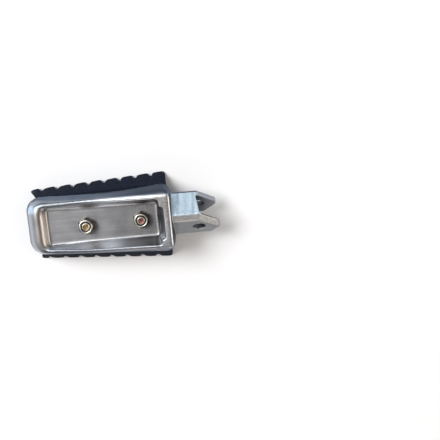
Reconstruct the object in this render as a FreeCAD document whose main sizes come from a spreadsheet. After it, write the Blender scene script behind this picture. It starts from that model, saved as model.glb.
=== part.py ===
import FreeCAD, Part
import Sketcher

import os
import re

# Foot peg for a rider's boot, lying on its tread with its underside up, as it comes to rest.
# +Z is up, +X runs along the peg to its hinge fork and +Y is across it.
# The origin is under the middle of the whole peg, on the plane of the tread's ribs.
# Lengths are in millimetres and angles in degrees.
# The tread lies about the X axis, and the rest about a middle line a little to its +Y side.
SIZES = [
    # casting: overall
    ("body_length", 97.3),
    ("fork_reach", 30.5),
    ("tread_thickness", 15.0),
    ("middle_side", 0.7),
    ("nose_height", 8.4),
    ("hinge_height", 19.3),
    ("floor_thickness", 4.5),
    # casting: outline where it sits on the rubber; each waist's reach is measured from the tray's middle
    ("seat_half_nose", 20.5),
    ("seat_half_waist", 19.9),
    ("seat_half_hinge", 23.2),
    ("seat_nose_skew", 2.5),
    ("seat_waist_reach", 11.4),
    ("seat_nose_round", 10.0),
    ("seat_hinge_round", 7.0),
    ("waist_round", 240.0),
    # casting: outline of the rim
    ("rim_inset_nose", 4.3),
    ("rim_inset_waist", 2.3),
    ("rim_inset_hinge", 5.7),
    ("rim_nose_setback", 6.4),
    ("rim_waist_reach", -12.6),
    ("rim_nose_round", 6.5),
    ("rim_hinge_round", 2.4),
    ("rim_edge_round", 1.7),
    ("wall_swell_height", 0.5),
    ("wall_swell_share", 0.3),
    # casting: pocket in the underside
    ("pocket_nose_rim", 10.6),
    ("pocket_nose_floor", 14.2),
    ("rim_width_nose", 2.9),
    ("rim_width_waist", 2.3),
    ("rim_width_hinge", 2.3),
    ("pocket_slope_nose", 0.1),
    ("pocket_slope_waist", 3.5),
    ("pocket_slope_hinge", 3.6),
    ("pocket_waist_reach", -12.6),
    ("pocket_corner_round", 2.1),
    ("pocket_floor_round", 1.9),
    ("pocket_edge_round", 0.6),
    ("corner_pad_rim", 7.6),
    ("corner_pad_floor", 9.4),
    ("relief_rim", 4.7),
    ("relief_floor", 8.3),
    ("relief_half_rim", 10.8),
    ("relief_half_floor", 9.6),
    ("relief_shift", -1.0),
    ("relief_length", 14.0),
    # casting: hinge fork
    ("fork_turn", 36.0),
    ("fork_side", 1.5),
    ("fork_height", 17.0),
    ("fork_width", 20.9),
    ("fork_depth", 24.8),
    ("fork_root", 3.3),
    ("fork_chamfer_near", 3.2),
    ("fork_chamfer_far", 1.3),
    ("ear_top_drop", 11.3),
    ("ear_bottom_rise", 9.4),
    ("ear_bottom_length", 8.6),
    ("ear_tip_round", 1.2),
    ("far_ear_setback", 1.8),
    ("slot_width", 12.8),
    ("slot_stop", 17.1),
    ("slot_lean", 2.2),
    ("tongue_radius", 9.0),
    ("pin_reach", 16.8),
    ("pin_hole", 8.0),
    # casting: web below the seat that carries the fork
    ("web_thickness", 3.3),
    ("web_depth", 10.4),
    ("web_half_top", 15.0),
    ("web_half_bottom", 9.0),
    ("web_corner_drop", 3.1),
    ("web_corner_round", 3.0),
    # rubber tread
    ("rubber_nose_seat", 7.2),
    ("rubber_nose_tread", 0.3),
    ("rubber_hinge_gap", 0.8),
    ("rubber_half_seat_nose", 20.2),
    ("rubber_half_seat_hinge", 22.6),
    ("rubber_half_tread_nose", 24.8),
    ("rubber_half_tread_hinge", 29.9),
    ("rubber_tread_skew", 1.2),
    ("rubber_corner_round", 2.0),
    ("groove_first", 8.4),
    ("groove_pitch", 10.7),
    ("groove_count", 8),
    ("groove_depth", 3.5),
    ("groove_mouth", 4.4),
    ("groove_neck", 2.8),
    ("groove_root", 1.8),
    ("groove_root_round", 0.6),
    ("groove_mouth_depth", 1.2),
    # backing plate
    ("plate_nose_margin", 18.2),
    ("plate_hinge_margin", 1.8),
    ("plate_side_margin", 6.7),
    ("plate_thickness", 3.0),
    ("plate_corner_round", 4.0),
    # studs and lock nuts
    ("stud_outer_reach", 40.2),
    ("stud_spacing", 36.4),
    ("stud_skew", 0.5),
    ("stud_diameter", 6.0),
    ("stud_hole", 6.7),
    ("stud_stick_out", 0.3),
    ("stud_end_chamfer", 0.6),
    ("stud_head_diameter", 10.0),
    ("stud_head_thickness", 2.0),
    ("nut_flats", 10.0),
    ("nut_hex_height", 4.1),
    ("nut_height", 6.0),
    ("nut_collar", 9.3),
    ("nut_collar_round", 0.7),
    ("nut_corner_drop", 0.55),
    ("nut_face_inset", 0.2),
    ("ring_diameter", 7.9),
    ("ring_thickness", 1.5),
    ("ring_recess", 0.25),
]

# Places along X, measured from the middle of the whole peg.
NOSE = "(-(body_length + fork_reach) / 2)"
BODY_END = "(" + NOSE + " + body_length)"
TIP = "(" + BODY_END + " + fork_reach)"
FAR_TIP = "(" + TIP + " - far_ear_setback)"
PIN = "(" + BODY_END + " + pin_reach)"
RUBBER_END = "(" + BODY_END + " - web_thickness - rubber_hinge_gap)"
# The narrowest places of the tray's outlines.
SEAT_WAIST = "((" + NOSE + " + " + BODY_END + ") / 2 + seat_waist_reach)"
RIM_WAIST = "((" + NOSE + " + " + BODY_END + ") / 2 + rim_waist_reach)"
POCKET_WAIST = "((" + NOSE + " + " + BODY_END + ") / 2 + pocket_waist_reach)"
# The web between the ears ends on a small slant, further out on the near ear's side.
NEAR_STOP = "(" + BODY_END + " + slot_stop + slot_lean / 2)"
FAR_STOP = "(" + BODY_END + " + slot_stop - slot_lean / 2)"
# The studs' line crosses the peg's middle at a small slant.
STUDS = (
    ("outer", "(" + NOSE + " + stud_outer_reach)", "(-stud_skew)"),
    ("inner", "(" + NOSE + " + stud_outer_reach + stud_spacing)", "stud_skew"),
)
# Heights above the plane of the ribs.
PLATE_BOTTOM = "(tread_thickness - plate_thickness)"
FLOOR = "(tread_thickness + floor_thickness)"
NUT_TOP = "(tread_thickness + floor_thickness + nut_height)"
RING_BOTTOM = NUT_TOP + " - ring_recess - ring_thickness"
# The rim lies in a plane that rises from the nose to the hinge end.
RIM_RISE = "((hinge_height - nose_height) / body_length)"
RIM_AT_ORIGIN = "(tread_thickness + nose_height - " + NOSE + " * " + RIM_RISE + ")"
# From a nut's axis to the corner of its hexagon.
NUT_CORNER = "(nut_flats / 2 / cos(30))"

# Half the width of the rim and of the pocket at the nose, at the waist and at the hinge end.
RIM_HALF = {}
POCKET_HALF_RIM = {}
POCKET_HALF_FLOOR = {}
for end in ("nose", "waist", "hinge"):
    RIM_HALF[end] = "(seat_half_%s - rim_inset_%s)" % (end, end)
    POCKET_HALF_RIM[end] = "(" + RIM_HALF[end] + " - rim_width_%s)" % end
    POCKET_HALF_FLOOR[end] = "(" + POCKET_HALF_RIM[end] + " - pocket_slope_%s)" % end

TOUCH = 0.01

doc = FreeCAD.newDocument("footpeg")
sheet = doc.addObject("Spreadsheet::Sheet", "Sizes")
for row, (alias, value) in enumerate(SIZES, start=1):
    sheet.set("A%d" % row, alias)
    sheet.set("B%d" % row, str(value))
    sheet.setAlias("B%d" % row, alias)
doc.recompute()

NAMES = [alias for alias, value in SIZES]


def bound(text):
    """The expression that reads every named size from the sheet."""
    return re.sub(r"[a-z_]+", lambda word: "Sizes." + word[0] if word[0] in NAMES else word[0], text)


def size(text):
    """The present value of an expression."""
    return float(sheet.evalExpression(bound(text)))


def plane(body, role):
    return next(feature for feature in body.Origin.OriginFeatures if feature.Role == role)


def new_body(label):
    body = doc.addObject("PartDesign::Body", label)
    body.Label = label
    return body


def new_sketch(body, name, role, height="0", tilt="0", side="0", turn="0"):
    """A sketch on an origin plane of its body, raised, moved aside, and turned about X or tilted about Y."""
    sketch = body.newObject("Sketcher::SketchObject", name)
    sketch.AttachmentSupport = [(plane(body, role), "")]
    sketch.MapMode = "FlatFace"
    axis = FreeCAD.Vector(1, 0, 0) if turn != "0" else FreeCAD.Vector(0, 1, 0)
    angle = turn if turn != "0" else "-atan(" + tilt + ")"
    degrees = size("(" + angle + ") / 1 deg") if turn == "0" else size(turn)
    sketch.AttachmentOffset = FreeCAD.Placement(
        FreeCAD.Vector(0, size(side), size(height)), FreeCAD.Rotation(axis, degrees))
    sketch.setExpression(".AttachmentOffset.Base.z", bound(height))
    sketch.setExpression(".AttachmentOffset.Base.y", bound(side))
    if turn != "0" or tilt != "0":
        sketch.setExpression(".AttachmentOffset.Rotation.Angle", bound(angle))
    return sketch


def place_point(sketch, geometry, position, x, y):
    """Fixes a point of the sketch at two sizes from the sketch's origin."""
    for kind, text in (("DistanceX", x), ("DistanceY", y)):
        index = sketch.addConstraint(Sketcher.Constraint(kind, -1, 1, geometry, position, size(text)))
        sketch.setExpression("Constraints[%d]" % index, bound(text))


def draw_outline(sketch, corners):
    """A closed outline of straight lines, its corners rounded where a radius is given."""
    points = [FreeCAD.Vector(size(corner[0]), size(corner[1]), 0) for corner in corners]
    count = len(points)
    for index in range(count):
        sketch.addGeometry(Part.LineSegment(points[index], points[(index + 1) % count]), False)
    for index in range(count):
        sketch.addConstraint(Sketcher.Constraint("Coincident", index, 2, (index + 1) % count, 1))
    for index, corner in enumerate(corners):
        place_point(sketch, index, 1, corner[0], corner[1])
    for index, corner in enumerate(corners):
        if len(corner) == 3:
            arc = len(sketch.Geometry)
            sketch.fillet(index, 1, size(corner[2]), True, True)
            radius = sketch.addConstraint(Sketcher.Constraint("Radius", arc, size(corner[2])))
            sketch.setExpression("Constraints[%d]" % radius, bound(corner[2]))
    return sketch


def draw_circle(sketch, x, y, diameter):
    centre = FreeCAD.Vector(size(x), size(y), 0)
    index = sketch.addGeometry(Part.Circle(centre, FreeCAD.Vector(0, 0, 1), size(diameter) / 2), False)
    place_point(sketch, index, 3, x, y)
    width = sketch.addConstraint(Sketcher.Constraint("Diameter", index, size(diameter)))
    sketch.setExpression("Constraints[%d]" % width, bound(diameter))
    return sketch


def mirrored(half, nose_skew="0"):
    """An outline from the corners of its +Y half, nose first, with the same corners at -Y, less a skew."""
    skews = [nose_skew] + ["0"] * (len(half) - 1)
    other = [
        (corner[0], "-(" + corner[1] + " - " + skew + ")") + tuple(corner[2:])
        for corner, skew in zip(half, skews)]
    return list(half) + other[::-1]


def pad(body, name, sketch, length, midplane=False, reversed_side=False):
    feature = body.newObject("PartDesign::Pad", name)
    feature.Profile = sketch
    feature.SideType = "Symmetric" if midplane else "One side"
    feature.Reversed = reversed_side
    feature.setExpression("Length", bound(length))
    doc.recompute()
    return feature


def cut(body, name, sketch, length, midplane=False, reversed_side=False):
    """A pocket that has to take material away."""
    before = body.Tip.Shape.Volume
    feature = body.newObject("PartDesign::Pocket", name)
    feature.Profile = sketch
    feature.SideType = "Symmetric" if midplane else "One side"
    feature.Reversed = reversed_side
    feature.setExpression("Length", bound(length))
    doc.recompute()
    if not feature.Shape.Volume < before - TOUCH:
        raise RuntimeError(name + " cuts nothing")
    return feature


def loft(body, name, kind, sketches):
    feature = body.newObject("PartDesign::" + kind, name)
    feature.Profile = sketches[0]
    feature.Sections = list(sketches[1:])
    doc.recompute()
    return feature


def dress(body, name, kind, edges, amount):
    """A fillet or chamfer on the edges that a test picks from the body's present shape."""
    base = body.Tip
    picked = ["Edge%d" % (index + 1) for index, edge in enumerate(base.Shape.Edges) if edges(edge)]
    if not picked:
        raise RuntimeError(name + " finds no edge")
    feature = body.newObject("PartDesign::" + kind, name)
    feature.Base = (base, picked)
    feature.setExpression("Size" if kind == "Chamfer" else "Radius", bound(amount))
    doc.recompute()
    return feature


def edge_points(edge):
    """Points along an edge, its ends among them."""
    return edge.discretize(5)


def along_rim(x):
    """A place along X as a length along the inclined rim."""
    return "(" + x + " / cos(atan(" + RIM_RISE + ")))"


def swell(seat, rim):
    """A size part of the way up the side wall, nearer to the seat's than a straight wall's."""
    return "(" + seat + " + (" + rim + " - " + seat + ") * wall_swell_share)"


def outline_at_seat(body):
    """The casting's outline where it sits on the rubber."""
    half = [
        (NOSE, "seat_half_nose", "seat_nose_round"),
        (SEAT_WAIST, "seat_half_waist", "waist_round"),
        (BODY_END, "seat_half_hinge", "seat_hinge_round"),
    ]
    sketch = new_sketch(body, "seat_outline", "XY_Plane", height="tread_thickness", side="middle_side")
    return draw_outline(sketch, mirrored(half, nose_skew="seat_nose_skew"))


def outline_in_wall(body):
    """The casting's outline part of the way up its side wall, which swells a little."""
    rise = "(" + RIM_RISE + " * wall_swell_height)"
    height = "(tread_thickness + (" + RIM_AT_ORIGIN + " - tread_thickness) * wall_swell_height)"
    half = [
        (NOSE + " + rim_nose_setback * wall_swell_share", swell("seat_half_nose", RIM_HALF["nose"]),
         swell("seat_nose_round", "rim_nose_round")),
        (swell(SEAT_WAIST, RIM_WAIST), swell("seat_half_waist", RIM_HALF["waist"]), "waist_round"),
        (BODY_END, swell("seat_half_hinge", RIM_HALF["hinge"]), swell("seat_hinge_round", "rim_hinge_round")),
    ]
    half = [("(" + corner[0] + ") / cos(atan(" + rise + "))",) + corner[1:] for corner in half]
    sketch = new_sketch(body, "wall_outline", "XY_Plane", height=height, tilt=rise, side="middle_side")
    return draw_outline(sketch, mirrored(half, nose_skew="seat_nose_skew * (1 - wall_swell_share)"))


def rim_sketch(body, name):
    """A sketch in the inclined plane of the rim."""
    return new_sketch(body, name, "XY_Plane", height=RIM_AT_ORIGIN, tilt=RIM_RISE, side="middle_side")


def outline_at_rim(body):
    half = [
        (along_rim("(" + NOSE + " + rim_nose_setback)"), RIM_HALF["nose"], "rim_nose_round"),
        (along_rim(RIM_WAIST), RIM_HALF["waist"], "waist_round"),
        (along_rim(BODY_END), RIM_HALF["hinge"], "rim_hinge_round"),
    ]
    sketch = rim_sketch(body, "rim_outline")
    return draw_outline(sketch, mirrored(half))


def pocket_outlines(body):
    floor = new_sketch(body, "pocket_floor_outline", "XY_Plane", height=FLOOR, side="middle_side")
    draw_outline(floor, mirrored([
        (NOSE + " + pocket_nose_floor", POCKET_HALF_FLOOR["nose"], "pocket_corner_round"),
        (POCKET_WAIST, POCKET_HALF_FLOOR["waist"], "waist_round"),
        (BODY_END + " - corner_pad_floor", POCKET_HALF_FLOOR["hinge"], "pocket_corner_round"),
    ]))
    rim = rim_sketch(body, "pocket_rim_outline")
    draw_outline(rim, mirrored([
        (along_rim("(" + NOSE + " + pocket_nose_rim)"), POCKET_HALF_RIM["nose"], "pocket_corner_round"),
        (along_rim(POCKET_WAIST), POCKET_HALF_RIM["waist"], "waist_round"),
        (along_rim("(" + BODY_END + " - corner_pad_rim)"), POCKET_HALF_RIM["hinge"], "pocket_corner_round"),
    ]))
    return floor, rim


def relief_outlines(body):
    """Above the floor's fillet, the middle of the pocket's end wall is cut back between two corner pads."""
    def corners(start, end, half):
        return [
            (start, "relief_shift + " + half), (end, "relief_shift + " + half, "pocket_corner_round"),
            (end, "relief_shift - " + half, "pocket_corner_round"), (start, "relief_shift - " + half),
        ]
    start = "(" + BODY_END + " - relief_length)"
    foot = FLOOR + " + pocket_floor_round"
    floor = new_sketch(body, "relief_floor_outline", "XY_Plane", height=foot, side="middle_side")
    draw_outline(floor, corners(start, BODY_END + " - relief_floor", "relief_half_floor"))
    rim = rim_sketch(body, "relief_rim_outline")
    end = "(" + BODY_END + " - relief_rim)"
    draw_outline(rim, corners(along_rim(start), along_rim(end), "relief_half_rim"))
    return floor, rim


def fork_sketch(body, name):
    """A sketch in the fork's own upright plane: x along the peg, y across the pin and up."""
    side = "middle_side + fork_side"
    return new_sketch(body, name, "XY_Plane", height="fork_height", side=side, turn="90 - fork_turn")


def in_fork_axes(point):
    """A point in the fork's own axes: along the peg, along the pin, and across both."""
    frame = FreeCAD.Placement(
        FreeCAD.Vector(0, size("middle_side + fork_side"), size("fork_height")),
        FreeCAD.Rotation(FreeCAD.Vector(1, 0, 0), -size("fork_turn")))
    return frame.inverse().multVec(point)


def web_outline(body):
    sketch = new_sketch(body, "web_outline", "YZ_Plane", height=BODY_END + " - web_thickness")
    return draw_outline(sketch, [
        ("middle_side - web_half_top", FLOOR),
        ("middle_side - web_half_top", "tread_thickness - web_corner_drop", "web_corner_round"),
        ("middle_side - web_half_bottom", "tread_thickness - web_depth", "web_corner_round"),
        ("middle_side + web_half_bottom", "tread_thickness - web_depth", "web_corner_round"),
        ("middle_side + web_half_top", "tread_thickness - web_corner_drop", "web_corner_round"),
        ("middle_side + web_half_top", FLOOR),
    ])


def fork_plan_sketch(body, name):
    """A sketch in the fork's own level plane: x along the peg, y along the pin to the near ear."""
    side = "middle_side + fork_side"
    return new_sketch(body, name, "XY_Plane", height="fork_height", side=side, turn="180 - fork_turn")


def ear_outline(body, name, stop, tip):
    """One half of the fork from the side: a bar whose ear comes to a blunt nose."""
    return draw_outline(fork_sketch(body, name), [
        (BODY_END + " - fork_root", "-fork_depth / 2"),
        (tip + " - ear_bottom_length", "-fork_depth / 2"),
        (tip, "-fork_depth / 2 + ear_bottom_rise"),
        (tip, "fork_depth / 2 - ear_top_drop"),
        (stop, "fork_depth / 2"),
        (BODY_END + " - fork_root", "fork_depth / 2"),
    ])


def cut_fork_slot(body):
    """The slot stops on a web near the top, and opens round the pin and below it for the peg's fold."""
    reach = TIP + " + fork_depth"
    hole = draw_circle(fork_sketch(body, "pin_hole_outline"), PIN, "0", "pin_hole")
    cut(body, "pin_hole_cut", hole, "2 * fork_width", midplane=True)
    stop = draw_outline(fork_plan_sketch(body, "slot_stop_outline"), [
        (NEAR_STOP, "slot_width / 2"), (reach, "slot_width / 2"),
        (reach, "-slot_width / 2"), (FAR_STOP, "-slot_width / 2"),
    ])
    cut(body, "slot_to_stop", stop, "2 * fork_depth", midplane=True)
    turn = draw_circle(fork_sketch(body, "tongue_turn_outline"), PIN, "0", "2 * tongue_radius")
    cut(body, "slot_round_pin", turn, "slot_width", midplane=True)
    fold = draw_outline(fork_sketch(body, "fold_gap_outline"), [
        (PIN + " - tongue_radius", "-fork_depth"), (reach, "-fork_depth"),
        (reach, "0"), (PIN + " - tongue_radius", "0"),
    ])
    cut(body, "slot_below_pin", fold, "slot_width", midplane=True)


def along_fork_side(edge, side):
    """Edges of an outside face of the fork: the level and sloping top ones, and the level bottom ones."""
    points = [in_fork_axes(point) for point in edge_points(edge)]
    half_depth = size("fork_depth") / 2
    outside = all(abs(point.y - side * size("fork_width") / 2) < TOUCH for point in points)
    lengthwise = max(point.x for point in points) - min(point.x for point in points) > TOUCH
    top = all(point.z > half_depth - size("ear_top_drop") - TOUCH for point in points)
    bottom = all(abs(point.z + half_depth) < TOUCH for point in points)
    return outside and lengthwise and (top or bottom)


def along_near_side(edge):
    return along_fork_side(edge, -1)


def along_far_side(edge):
    return along_fork_side(edge, 1)


def across_ear_tip(edge):
    points = [in_fork_axes(point) for point in edge_points(edge)]
    tip = size(TIP if points[0].y + points[-1].y < 0 else FAR_TIP)
    at_tip = all(abs(point.x - tip) < TOUCH for point in points)
    return at_tip and abs(points[0].y - points[-1].y) > size("fork_width") / 4


def hinge_fork():
    """The fork before it joins the tray."""
    body = new_body("hinge_fork")
    near = ear_outline(body, "near_ear_outline", NEAR_STOP, TIP)
    pad(body, "near_half", near, "fork_width / 2")
    far = ear_outline(body, "far_ear_outline", BODY_END + " + slot_stop", FAR_TIP)
    pad(body, "far_half", far, "fork_width / 2", reversed_side=True)
    dress(body, "near_edge_chamfer", "Chamfer", along_near_side, "fork_chamfer_near")
    dress(body, "far_edge_chamfer", "Chamfer", along_far_side, "fork_chamfer_far")
    dress(body, "ear_tip_fillet", "Fillet", across_ear_tip, "ear_tip_round")
    cut_fork_slot(body)
    return body


def on_floor(edge):
    return all(abs(point.z - size(FLOOR)) < TOUCH for point in edge_points(edge))


def on_rim(edge):
    rise = size(RIM_RISE)
    start = size(RIM_AT_ORIGIN)
    return all(abs(point.z - start - rise * point.x) < TOUCH for point in edge_points(edge))


def on_rim_outside(edge):
    """Rim edges nearer to the tray's outside than to its pocket."""
    points = edge_points(edge)
    half = (size(RIM_HALF["nose"]) + size(POCKET_HALF_RIM["waist"])) / 2
    beside = all(abs(point.y - size("middle_side")) > half for point in points)
    before = all(point.x < size(NOSE) + size("pocket_nose_rim") - TOUCH for point in points)
    behind = all(point.x > size(BODY_END) - size("corner_pad_rim") + TOUCH for point in points)
    return on_rim(edge) and (beside or before or behind)


def on_rim_inside(edge):
    return on_rim(edge) and not on_rim_outside(edge)


def stud_circles(body, name, height, diameter):
    sketch = new_sketch(body, name, "XY_Plane", height=height, side="middle_side")
    for end, x, y in STUDS:
        draw_circle(sketch, x, y, diameter)
    return sketch


def footpeg_casting():
    """One casting: a tray that is open at the top, with the hinge fork on its end wall."""
    fork = hinge_fork()
    body = new_body("footpeg_casting")
    loft(body, "tray", "AdditiveLoft", [outline_at_seat(body), outline_in_wall(body), outline_at_rim(body)])
    loft(body, "pocket", "SubtractiveLoft", pocket_outlines(body))
    dress(body, "pocket_floor_fillet", "Fillet", on_floor, "pocket_floor_round")
    dress(body, "rim_outside_fillet", "Fillet", on_rim_outside, "rim_edge_round")
    dress(body, "rim_inside_fillet", "Fillet", on_rim_inside, "pocket_edge_round")
    loft(body, "end_relief", "SubtractiveLoft", relief_outlines(body))
    holes = stud_circles(body, "stud_holes_outline", "tread_thickness", "stud_hole")
    cut(body, "stud_holes", holes, "floor_thickness", reversed_side=True)
    pad(body, "end_web", web_outline(body), "web_thickness")
    join = body.newObject("PartDesign::Boolean", "fork_join")
    join.setObjects([fork])
    join.Type = "Fuse"
    doc.recompute()
    return body


def rubber_seat_outline(body):
    sketch = new_sketch(body, "rubber_seat_outline", "XY_Plane", height="tread_thickness", side="middle_side")
    return draw_outline(sketch, mirrored([
        (NOSE + " + rubber_nose_seat", "rubber_half_seat_nose", "rubber_corner_round"),
        (RUBBER_END, "rubber_half_seat_hinge", "rubber_corner_round"),
    ], nose_skew="seat_nose_skew"))


def rubber_rib_outline(body):
    sketch = new_sketch(body, "rubber_rib_outline", "XY_Plane")
    return draw_outline(sketch, mirrored([
        (NOSE + " + rubber_nose_tread", "rubber_half_tread_nose", "rubber_corner_round"),
        (RUBBER_END, "rubber_half_tread_hinge", "rubber_corner_round"),
    ], nose_skew="rubber_tread_skew"))


def groove_outline(body):
    """A groove across the tread: a wide mouth, then straight flanks to a narrower root."""
    middle = NOSE + " + groove_first"
    sketch = new_sketch(body, "groove_outline", "XZ_Plane")
    return draw_outline(sketch, [
        (middle + " - groove_mouth / 2", "-groove_mouth_depth"),
        (middle + " + groove_mouth / 2", "-groove_mouth_depth"),
        (middle + " + groove_mouth / 2", "0"),
        (middle + " + groove_neck / 2", "groove_mouth_depth"),
        (middle + " + groove_root / 2", "groove_depth", "groove_root_round"),
        (middle + " - groove_root / 2", "groove_depth", "groove_root_round"),
        (middle + " - groove_neck / 2", "groove_mouth_depth"),
        (middle + " - groove_mouth / 2", "0"),
    ])


def plate_outline(body, height):
    half = "rubber_half_seat_nose - plate_side_margin"
    sketch = new_sketch(body, "plate_outline", "XY_Plane", height=height, side="middle_side")
    return draw_outline(sketch, mirrored([
        (NOSE + " + rubber_nose_seat + plate_nose_margin", half, "plate_corner_round"),
        (RUBBER_END + " - plate_hinge_margin", half, "plate_corner_round"),
    ]))


def tread_rubber():
    """A moulded rubber block, wider at its ribs, with a bed in its back for the steel plate."""
    body = new_body("tread_rubber")
    loft(body, "block", "AdditiveLoft", [rubber_seat_outline(body), rubber_rib_outline(body)])
    groove = cut(body, "groove", groove_outline(body), "4 * rubber_half_tread_hinge", midplane=True)
    pattern = body.newObject("PartDesign::LinearPattern", "grooves")
    pattern.Originals = [groove]
    pattern.Direction = (plane(body, "X_Axis"), [""])
    pattern.setExpression("Length", bound("groove_pitch * (groove_count - 1)"))
    pattern.setExpression("Occurrences", bound("groove_count"))
    body.Tip = pattern
    doc.recompute()
    cut(body, "plate_bed", plate_outline(body, "tread_thickness"), "plate_thickness")
    heads = stud_circles(body, "stud_head_beds_outline", PLATE_BOTTOM, "stud_head_diameter")
    cut(body, "stud_head_beds", heads, "stud_head_thickness")
    return body


def backing_plate():
    """The steel plate bonded into the rubber's back, flush with it."""
    body = new_body("backing_plate")
    pad(body, "plate", plate_outline(body, PLATE_BOTTOM), "plate_thickness")
    holes = stud_circles(body, "plate_holes_outline", PLATE_BOTTOM, "stud_diameter")
    cut(body, "plate_holes", holes, "plate_thickness", reversed_side=True)
    return body


def set_place(body, x, y):
    body.setExpression("Placement.Base.x", bound(x))
    body.setExpression("Placement.Base.y", bound("middle_side + " + y))


def turned_outline(body, name, corners):
    """Half of a turned section: distance from the axis, then height."""
    return draw_outline(new_sketch(body, name, "XZ_Plane"), corners)


def revolve(body, name, kind, sketch):
    feature = body.newObject("PartDesign::" + kind, name)
    feature.Profile = sketch
    feature.ReferenceAxis = (plane(body, "Z_Axis"), [""])
    feature.Angle = 360
    doc.recompute()
    return feature


def stud(label, x, y):
    """A flat-headed stud pressed through the backing plate from below."""
    body = new_body(label)
    end = NUT_TOP + " + stud_stick_out"
    head_bottom = PLATE_BOTTOM + " - stud_head_thickness"
    section = turned_outline(body, label + "_section", [
        ("0", head_bottom),
        ("stud_head_diameter / 2", head_bottom),
        ("stud_head_diameter / 2", PLATE_BOTTOM),
        ("stud_diameter / 2", PLATE_BOTTOM),
        ("stud_diameter / 2", end + " - stud_end_chamfer"),
        ("stud_diameter / 2 - stud_end_chamfer", end),
        ("0", end),
    ])
    revolve(body, label + "_turned", "Revolution", section)
    set_place(body, x, y)
    return body


def nut(label, x, y):
    """A hexagon lock nut with a round collar, its crown open over the locking ring."""
    body = new_body(label)
    hexagon = new_sketch(body, label + "_hexagon", "XY_Plane", height=FLOOR)
    corners = []
    for index in range(6):
        angle = "(%d)" % (60 * index + 30)
        corners.append((NUT_CORNER + " * cos" + angle, NUT_CORNER + " * sin" + angle))
    pad(body, label + "_hex", draw_outline(hexagon, corners), "nut_hex_height")
    high = "(" + FLOOR + " + nut_hex_height)"
    for side, level, step in (("low", FLOOR, "nut_corner_drop"), ("high", high, "-nut_corner_drop")):
        trim = turned_outline(body, label + "_" + side + "_trim", [
            ("nut_flats / 2 - nut_face_inset", level),
            (NUT_CORNER + " + nut_face_inset", level + " + (" + step + ")"),
            ("nut_flats", level + " + (" + step + ")"),
            ("nut_flats", level + " - 2 * (" + step + ")"),
            ("nut_flats / 2 - nut_face_inset", level + " - 2 * (" + step + ")"),
        ])
        revolve(body, label + "_" + side + "_corners", "Groove", trim)
    collar = turned_outline(body, label + "_collar_section", [
        ("0", high + " - nut_corner_drop"),
        ("nut_collar / 2", high + " - nut_corner_drop"),
        ("nut_collar / 2", NUT_TOP, "nut_collar_round"),
        ("0", NUT_TOP),
    ])
    revolve(body, label + "_collar", "Revolution", collar)
    bore = turned_outline(body, label + "_bore_section", [
        ("0", "tread_thickness"),
        ("stud_diameter / 2", "tread_thickness"),
        ("stud_diameter / 2", RING_BOTTOM),
        ("ring_diameter / 2", RING_BOTTOM),
        ("ring_diameter / 2", NUT_TOP + " + nut_height"),
        ("0", NUT_TOP + " + nut_height"),
    ])
    revolve(body, label + "_bore", "Groove", bore)
    set_place(body, x, y)
    return body


def locking_ring(label, x, y):
    body = new_body(label)
    top = NUT_TOP + " - ring_recess"
    section = turned_outline(body, label + "_section", [
        ("stud_diameter / 2", RING_BOTTOM), ("ring_diameter / 2", RING_BOTTOM),
        ("ring_diameter / 2", top), ("stud_diameter / 2", top),
    ])
    revolve(body, label + "_turned", "Revolution", section)
    set_place(body, x, y)
    return body


def check_document():
    for item in doc.Objects:
        if "Invalid" in item.State or "Error" in item.State:
            raise RuntimeError(item.Label + " is " + ", ".join(item.State))


def export(bodies):
    """Writes each sub-part once all of them are sound."""
    for body in bodies:
        shape = body.Shape
        if shape.isNull() or not shape.isValid() or len(shape.Solids) != 1:
            raise RuntimeError(body.Label + " has no valid solid")
    os.makedirs("parts", exist_ok=True)
    for body in bodies:
        body.Shape.exportStep(os.path.join("parts", body.Label + ".step"))
        box = body.Shape.BoundBox
        sides = (box.XMin, box.YMin, box.ZMin, box.XMax, box.YMax, box.ZMax)
        print(body.Label, round(body.Shape.Volume, 1), [round(side, 2) for side in sides])


def build():
    parts = [footpeg_casting(), tread_rubber(), backing_plate()]
    for end, x, y in STUDS:
        parts += [stud("stud_" + end, x, y), nut("nut_" + end, x, y), locking_ring("nylon_ring_" + end, x, y)]
    doc.recompute()
    check_document()
    export(parts)


build()
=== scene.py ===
import functools
import math

import bpy
import numpy as np
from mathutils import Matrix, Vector


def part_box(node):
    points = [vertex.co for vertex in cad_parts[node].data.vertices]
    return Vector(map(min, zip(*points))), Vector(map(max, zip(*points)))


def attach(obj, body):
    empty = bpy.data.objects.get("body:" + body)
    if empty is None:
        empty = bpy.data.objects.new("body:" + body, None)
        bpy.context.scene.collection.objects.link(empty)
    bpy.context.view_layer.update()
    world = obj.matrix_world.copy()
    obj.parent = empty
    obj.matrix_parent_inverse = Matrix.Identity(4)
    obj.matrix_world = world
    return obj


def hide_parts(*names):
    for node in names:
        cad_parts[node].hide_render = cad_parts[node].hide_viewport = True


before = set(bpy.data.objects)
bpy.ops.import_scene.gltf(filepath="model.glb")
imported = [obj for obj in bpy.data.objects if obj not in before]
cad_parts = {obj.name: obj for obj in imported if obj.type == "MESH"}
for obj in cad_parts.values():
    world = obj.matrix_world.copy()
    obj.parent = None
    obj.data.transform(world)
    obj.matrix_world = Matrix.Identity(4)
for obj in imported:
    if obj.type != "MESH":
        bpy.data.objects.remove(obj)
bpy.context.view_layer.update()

MM = 0.001


def corners(node):
    """The lowest and highest corners of a CAD node, to a hundredth of a millimetre."""
    return [[round(place / MM, 2) for place in corner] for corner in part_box(node)]


def upright_axis(node):
    """Where the middle of a CAD node lies, seen from above."""
    low, high = corners(node)
    return round((low[0] + high[0]) / 2, 2), round((low[1] + high[1]) / 2, 2)


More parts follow.
